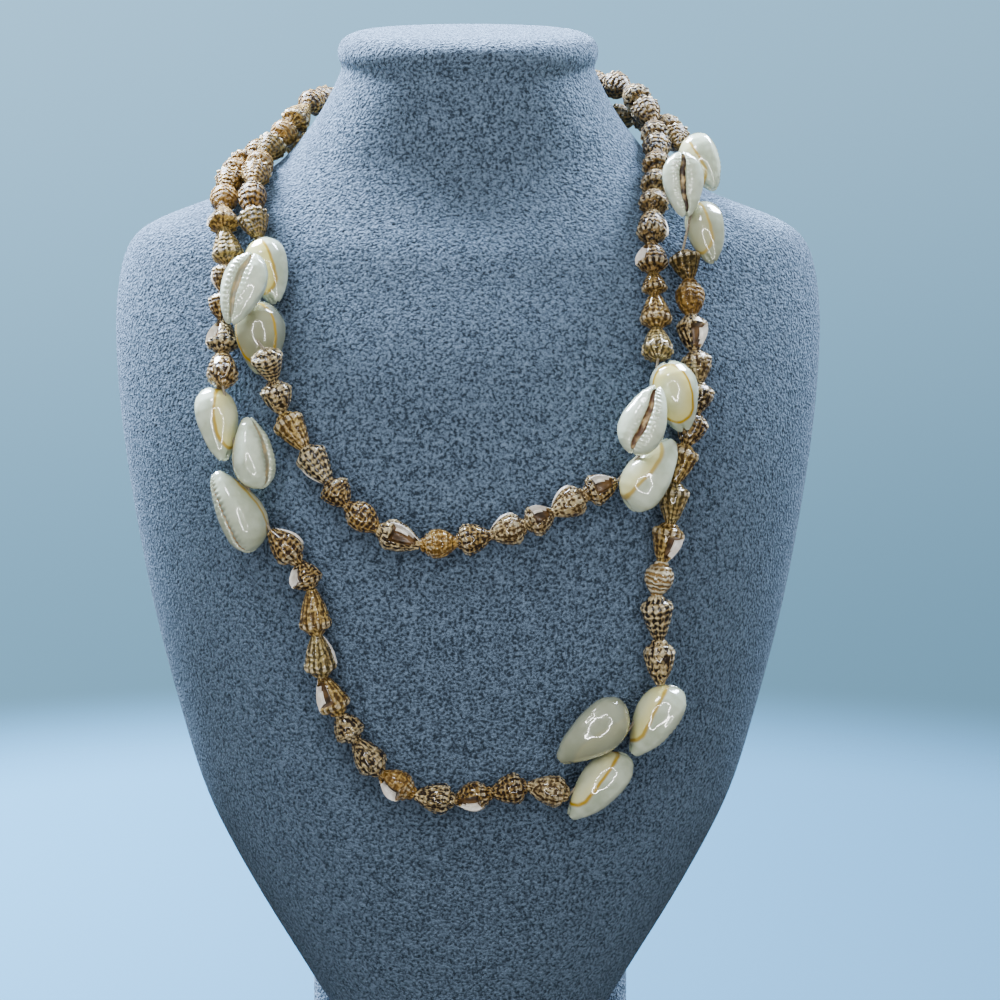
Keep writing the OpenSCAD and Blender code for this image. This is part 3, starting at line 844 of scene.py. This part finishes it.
# A run's shells in the thread's order: look and how far the shell is rolled from back-on
FRONT_LOOKS = [
    ("zebra", 50), ("spotted", 40), ("gold", 45), ("zebra", 0), ("walnut", 50), ("chestnut", 40),
    ("spotted", 205), ("amber", 40), ("walnut", 50), ("sand", 5), ("sand", 190), ("sand", 0),
    ("walnut", 200),
]
RIGHT_LOOKS = [
    ("olive", 45), ("gold", 60), ("gold", 40), ("walnut", 160), ("spotted", -10), ("sand", 50),
    ("spotted", 40), ("walnut", 60), ("spotted", 40), ("walnut", 50), ("sand", 70),
    ("spotted", 40), ("walnut", 60), ("walnut", 40), ("spotted", 50),
]
LEFT_LOOKS = [
    ("sand", 40), ("gold", 60), ("walnut", 40), ("olive", 50), ("gold", 40), ("zebra", 60),
    ("chestnut", 40), ("gold", 50), ("amber", 40), ("gold", 60), ("amber", 45), ("gold", 170),
    ("olive", 40), ("sand", 0), ("walnut", 50), ("zebra", 175), ("walnut", 40),
]
BOTTOM_LOOKS = [
    ("walnut", 0), ("walnut", 170), ("gold", 45), ("olive", 0), ("gold", 190), ("spotted", 50),
    ("spotted", 40), ("amber", 190), ("spotted", 50), ("chestnut", 215), ("walnut", 45),
    ("sand", 50),
]
RISE_LOOKS = [
    ("spotted", 50), ("zebra", 40), ("banded", 50), ("gold", 185), ("olive", 45), ("gold", 50),
    ("walnut", 40), ("spotted", 60), ("sand", 50), ("spotted", 195), ("amber", 40),
    ("olive", 50),
]
NECK_LOOKS = [
    ("gold", 40), ("sand", 60), ("walnut", 40), ("olive", 60), ("gold", 45), ("spotted", 40),
    ("sand", 60), ("walnut", 40), ("gold", 50), ("chestnut", 45), ("sand", 50), ("walnut", 60),
    ("gold", 40), ("olive", 50), ("walnut", 30), ("chestnut", 40), ("gold", 50), ("amber", 40),
    ("olive", 45), ("amber", 40), ("gold", 45), ("chestnut", 50), ("olive", 40),
]

# Shells with their spire in front of this Y face the viewer, the others the back, and shells
# that point straight there, by this cosine, face up
FACING_EDGE = 0.05
HEAD_ON = 0.9
# The shells by the neck are duller, and have painted shade that makes them darker and more golden:
# the height where that starts and the rise over which it grows, and how much the painted shade
# darkens them left and right and takes from red, green and blue
NECK_FROM, NECK_RISE = 0.2, 0.04
NECK_PAINTED_SHADE = {"left": 0.2, "right": 0.6}
NECK_WARM_SHADE = (0, 0.1, 0.26, 0)
NECK_FAINTER = 0.35
NECK_DULLER = 0.8
# Chance: darkest and lightest shade of a shell, and how far its pattern is moved
SHADES = (0.85, 1.12)
PATTERN_SHIFT = 40


def keep_looks(shell, look, start):
    """Keeps a small shell's colours, marks and polish on its points."""
    _, ground, mark, marks = LOOKS[look]
    high = min(max((start.z - NECK_FROM) / NECK_RISE, 0), 1)
    shade = random.uniform(*SHADES)
    # Painted shade by the neck: darker, and less green and blue
    shade *= 1 - NECK_PAINTED_SHADE["right" if start.x > 0 else "left"] * high
    warm_shade = [1 - share * high for share in NECK_WARM_SHADE]
    ground = [c * g * shade for c, g in zip(linear(ground), warm_shade)]
    keep_on_points(shell, "ground", "FLOAT_COLOR", ground)
    keep_on_points(shell, "mark", "FLOAT_COLOR", [c * shade for c in linear(mark)])
    marks = [share * (1 - NECK_FAINTER * high) for share in marks]
    keep_on_points(shell, "marks", "FLOAT_VECTOR", marks)
    keep_on_points(shell, "polish", "FLOAT", 1 - NECK_DULLER * high)
    shifted = [random.uniform(0, PATTERN_SHIFT) for _ in range(3)]
    keep_on_points(shell, "shift", "FLOAT_VECTOR", shifted)


def string_of_shells(name, node, looks, units):
    """Copies of the unit shells on every turned solid of a CAD node, joined as one piece."""
    source = merged_copy(node, name + "_guide")
    parts = islands(source)
    bpy.data.objects.remove(source)
    shells = []
    for part, (look, roll) in zip(parts, looks):
        start, axis, length, radius = shell_frame(part)
        facing = TO_VIEWER if start.y < FACING_EDGE else -TO_VIEWER
        if abs(axis.dot(facing)) > HEAD_ON:
            facing = UP
        up = (facing - axis * facing.dot(axis)).normalized()
        up.rotate(Matrix.Rotation(math.radians(roll), 3, axis))
        start -= axis * length * SHELL_OVERLAP
        length *= 1 + 2 * SHELL_OVERLAP
        place = axes_matrix(start, axis, up, (length, radius, radius))
        form = LOOKS[look][0]
        shell = copy_of(units[form], name + "_shell", place)
        keep_looks(shell, look, start)
        shells.append(shell)
    bpy.ops.object.select_all(action="DESELECT")
    for shell in shells:
        shell.select_set(True)
    bpy.context.view_layer.objects.active = shells[0]
    bpy.ops.object.join()
    string = bpy.context.object
    string.name = name
    string.data.name = name
    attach(string, "root")
    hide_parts(node)


def bulk_of(mesh):
    """The middle of the space that a closed mesh of triangles holds."""
    shape = bmesh.new()
    shape.from_mesh(mesh)
    bulk, total = Vector(), 0.0
    for face in shape.faces:
        a, b, c = (v.co for v in face.verts)
        volume = a.dot(b.cross(c)) / 6
        bulk += (a + b + c) / 4 * volume
        total += volume
    shape.free()
    return bulk / total


def cowrie_frame(node):
    """Middle, heading, back, length and girth of a CAD cowrie, from its tips and its bulk."""
    source = merged_copy(node, node + "_guide")
    points = [v.co.copy() for v in source.data.vertices]
    bulk = bulk_of(source.data)
    bpy.data.objects.remove(source)
    middle, axis = main_axis(points)
    low = min(points, key=lambda p: (p - middle).dot(axis))
    high = max(points, key=lambda p: (p - middle).dot(axis))
    # The bulk lies nearer to the broad end
    if (bulk - (low + high) / 2).dot(high - low) > 0:
        low, high = high, low
    tips = high - low
    long = tips.length / COWRIE_TIP_SPAN
    x = tips.normalized()
    centre = (low + high) / 2
    # The bulk lies above the line from tip to tip
    off = bulk - centre
    back = (off - x * off.dot(x)).normalized()
    side = back.cross(x)
    across = [(p - centre).dot(side) for p in points]
    girth = (max(across) - min(across)) / (long * COWRIE_WIDTH)
    return centre, x, back, long, girth


# Cowries in the thread's order: dome colour, strength of its ring, how far the dome is turned
# to the right of the picture, and the slit's colour, whose darker tones are partly painted shade
# deep in the slit
BRONZE, UMBER, BLACK_SHADE, PALE = "8E6630", "4E2E14", "24120A", "8A8872"
COWRIE_LOOKS = [
    ("D6D08E", 0.8, 0, BRONZE), ("D6DABE", 0.2, 0, UMBER), ("D8CC74", 1.0, 0, BRONZE),
    ("D6D08E", 0.6, 0, BRONZE), ("D6D08E", 0.6, 0, BRONZE), ("D6D08E", 0.6, 0, BRONZE),
    ("D6CE80", 0.9, 30, BRONZE), ("D4D6BA", 0.5, 6, PALE), ("D4D09C", 0.8, 42, BRONZE),
    ("D4D096", 1.0, -35, BRONZE), ("CED0A4", 0.05, 38, UMBER), ("D6CE80", 0.9, -30, UMBER),
    ("D6D08E", 0.7, -35, UMBER), ("D4D6BA", 0.3, -12, BLACK_SHADE), ("D4D09C", 0.9, 0, UMBER),
    ("D6C86C", 0.9, 0, UMBER), ("D4D4B4", 0.3, -30, PALE), ("D6CC78", 1.0, 15, UMBER),
]
# Cowries with painted shade, darkened towards olive grey, and how much
SHADED_COWRIES = {9: 0.3, 11: 0.72, 13: 0.72, 18: 0.85}


def make_cowries(unit):
    """A dressed cowrie over each CAD cowrie, with its own colours."""
    for number, (dome, ring, turn, slit) in enumerate(COWRIE_LOOKS, 1):
        node = f"cowrie_{number:02d}"
        centre, along, back, long, girth = cowrie_frame(node)
        if along.cross(back).x < 0:
            turn = -turn
        back.rotate(Matrix.Rotation(math.radians(turn), 3, along))
        place = axes_matrix(centre, along, back, (long, long * girth, long * girth))
        cowrie = copy_of(unit, node + "_shell", place)
        keep_on_points(cowrie, "dome", "FLOAT_COLOR", linear(dome))
        keep_on_points(cowrie, "ring", "FLOAT", ring)
        keep_on_points(cowrie, "painted_shade", "FLOAT", SHADED_COWRIES.get(number, 0))
        keep_on_points(cowrie, "slit", "FLOAT_COLOR", linear(slit))
        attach(cowrie, "root")
        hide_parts(node)


# The foot: width of the bevel on its edges, and the angle from which an edge gets one
FOOT_BEVEL = 0.0015
FOOT_SHARP = math.radians(40)


def make_bust():
    """The velvet bust, smoothed from the CAD facets."""
    bust = merged_copy("neck_bust", "velvet_bust")
    to_quads(bust)
    finish_with(bust, "SUBSURF", levels=2, render_levels=2)
    bpy.ops.object.shade_smooth()
    bust.data.materials.append(VELVET)
    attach(bust, "root")
    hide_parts("neck_bust")


def make_foot():
    """The velvet foot, with soft edges."""
    foot = merged_copy("bust_foot", "velvet_foot")
    open_up(foot)
    bpy.ops.mesh.select_all(action="SELECT")
    bpy.ops.mesh.dissolve_limited(angle_limit=math.radians(1))
    close_up()
    finish_with(foot, "BEVEL", width=FOOT_BEVEL, segments=3, limit_method="ANGLE",
                angle_limit=FOOT_SHARP)
    bpy.ops.object.shade_smooth_by_angle(angle=FOOT_SHARP)
    foot.data.materials.append(VELVET)
    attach(foot, "root")
    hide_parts("bust_foot")


def make_thread():
    """The cotton thread, smooth along the CAD tube."""
    thread = merged_copy("thread", "cotton_thread")
    to_quads(thread)
    bpy.ops.object.shade_smooth()
    thread.data.materials.append(COTTON)
    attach(thread, "root")
    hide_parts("thread")


# The stage

# The floor is a disc that fades out between two radii, and has painted shade that darkens it to
# the right
FLOOR_FADE_FROM = 0.36
FLOOR_FADE_TO = 0.56
FLOOR_RIM = 0.02
FLOOR_SHADE_REACH = 0.3

# The room: colours of the backdrop, how much painted shade darkens it to the right, and the
# neutral light, with the heights between which each goes from low to high
BACKDROP_LOW = (0.235, 0.53, 0.78, 1)
BACKDROP_HIGH = (0.5, 0.98, 1.4, 1)
BACKDROP_SPAN = (-0.22, 0.1)
BACKDROP_STRENGTH, BACKDROP_DARKENING = 0.87, 0.62
AMBIENT_BELOW = (0.15, 0.15, 0.15, 1)
AMBIENT_ABOVE = (0.42, 0.42, 0.42, 1)
AMBIENT_SPAN = (-0.7, 0.7)


def make_stage():
    """A pale blue floor that fades into the backdrop."""
    bpy.ops.object.select_all(action="DESELECT")
    bpy.ops.mesh.primitive_circle_add(vertices=128, radius=FLOOR_FADE_TO + FLOOR_RIM,
                                      fill_type="NGON", location=(0, 0, 0))
    floor = bpy.context.object
    floor.name = "floor"
    material, tree, shader = new_material("pale_floor", 0.8, 0.1)
    place = object_place(tree)
    # Painted shade: the floor darkens to the right
    rightward = spread(tree, split(tree, place)[0], -FLOOR_SHADE_REACH, FLOOR_SHADE_REACH)
    colour = blend(tree, rightward, linear(FLOOR_LEFT), linear(FLOOR_RIGHT))
    tree.links.new(colour, shader.inputs["Base Color"])
    far = add_node(tree, "VectorMath", {0: place}, operation="LENGTH").outputs["Value"]
    fade = spread(tree, far, FLOOR_FADE_TO, FLOOR_FADE_FROM)
    tree.links.new(fade, shader.inputs["Alpha"])
    floor.data.materials.append(material)
    floor.visible_diffuse = False
    floor.visible_glossy = False


def make_room():
    """A soft blue backdrop that only the camera sees, and neutral light from above."""
    world = bpy.data.worlds.new("soft_room")
    world.use_nodes = True
    tree = world.node_tree
    sideways, _, height = split(tree, add_node(tree, "TexCoord").outputs["Generated"])
    backdrop = tree.nodes["Background"]
    colour = blend(tree, spread(tree, height, *BACKDROP_SPAN), BACKDROP_LOW, BACKDROP_HIGH)
    tree.links.new(colour, backdrop.inputs["Color"])
    # Painted shade: the backdrop darkens to the right
    dimmer = times_plus(tree, sideways, -BACKDROP_DARKENING, BACKDROP_STRENGTH)
    tree.links.new(dimmer, backdrop.inputs["Strength"])
    ambient = blend(tree, spread(tree, height, *AMBIENT_SPAN), AMBIENT_BELOW, AMBIENT_ABOVE)
    ambient = add_node(tree, "Background", {"Color": ambient})
    seen = add_node(tree, "LightPath").outputs["Is Camera Ray"]
    mixed = add_node(tree, "MixShader", {0: seen, 1: ambient.outputs[0],
                                         2: backdrop.outputs[0]})
    tree.links.new(mixed.outputs[0], tree.nodes["World Output"].inputs["Surface"])
    bpy.context.scene.world = world


def make_light(name, place, aim, power, size, colour="FFFFFF"):
    """A round area light that shines from its place towards its aim."""
    light = bpy.data.lights.new(name, "AREA")
    light.energy = power
    light.color = linear(colour)[:3]
    light.shape = "DISK"
    light.size = size
    lamp = bpy.data.objects.new(name, light)
    lamp.location = place
    lamp.rotation_euler = (Vector(place) - Vector(aim)).to_track_quat("Z", "Y").to_euler()
    lamp.visible_camera = False
    bpy.context.scene.collection.objects.link(lamp)
    return lamp


# Name, place, aim, power in watts, diameter and colour
LAMPS = [
    ["top_left", (-0.47, 0.44, 0.98), (0, 0, 0.2), 168, 0.5, SKY_LIGHT],
    ["top_right", (0.5, 0.44, 0.96), (0, 0, 0.2), 68, 0.5, SKY_LIGHT],
    ["front_top", (-0.35, -0.55, 1.15), (0, 0, 0.15), 5, 0.22, SOFT_WHITE],
]

# A ring light round the lens, as straight bars
RING_BARS = 20
RING_RADIUS = 0.42
RING_POWER = 9.5
RING_BAR_WIDTH = 0.014


def make_lights():
    """The lamps above and the ring light round the lens."""
    for lamp in LAMPS:
        make_light(*lamp)
    for step in range(RING_BARS):
        turn = 2 * math.pi * step / RING_BARS
        place = camera_place() + RING_RADIUS * Vector((math.cos(turn), 0, math.sin(turn)))
        bar = make_light(f"ring_{step:02d}", place, place + Vector((0, 1, 0)),
                         RING_POWER / RING_BARS, 2 * math.pi * RING_RADIUS / RING_BARS)
        bar.data.shape = "RECTANGLE"
        bar.data.size_y = RING_BAR_WIDTH
        bar.rotation_euler = (math.pi / 2, -turn + math.pi / 2, 0)


def camera_place():
    """Where the camera stands."""
    back = Vector((0, -math.cos(CAMERA_ELEVATION), math.sin(CAMERA_ELEVATION)))
    return CAMERA_AIM + back * CAMERA_DISTANCE


def make_camera():
    """The camera in front of the chest, as in the photo."""
    data = bpy.data.cameras.new("camera")
    data.sensor_fit = "HORIZONTAL"
    data.angle = 2 * math.atan(VIEW_HALF_WIDTH / CAMERA_DISTANCE)
    camera = bpy.data.objects.new("camera", data)
    camera.location = camera_place()
    camera.rotation_euler = (math.pi / 2 - CAMERA_ELEVATION, 0, 0)
    bpy.context.scene.collection.objects.link(camera)
    bpy.context.scene.camera = camera


# The whole scene

make_camera()
make_bust()
make_foot()
make_thread()
unit_shells = {
    "whelk": unit_shell("unit_whelk", WHELK_OUTLINE, 0.08),
    "cone": unit_shell("unit_cone", CONE_OUTLINE, 0.085),
    "moon": unit_shell("unit_moon", MOON_OUTLINE, 0.035),
}
string_of_shells("inner_shells", "inner_round_shells",
                 NECK_LOOKS + FRONT_LOOKS + RIGHT_LOOKS, unit_shells)
string_of_shells("outer_shells", "outer_round_shells",
                 LEFT_LOOKS + BOTTOM_LOOKS + RISE_LOOKS, unit_shells)
cowrie = unit_cowrie()
make_cowries(cowrie)
for unit in (*unit_shells.values(), cowrie):
    bpy.data.objects.remove(unit)
make_stage()
make_room()
make_lights()
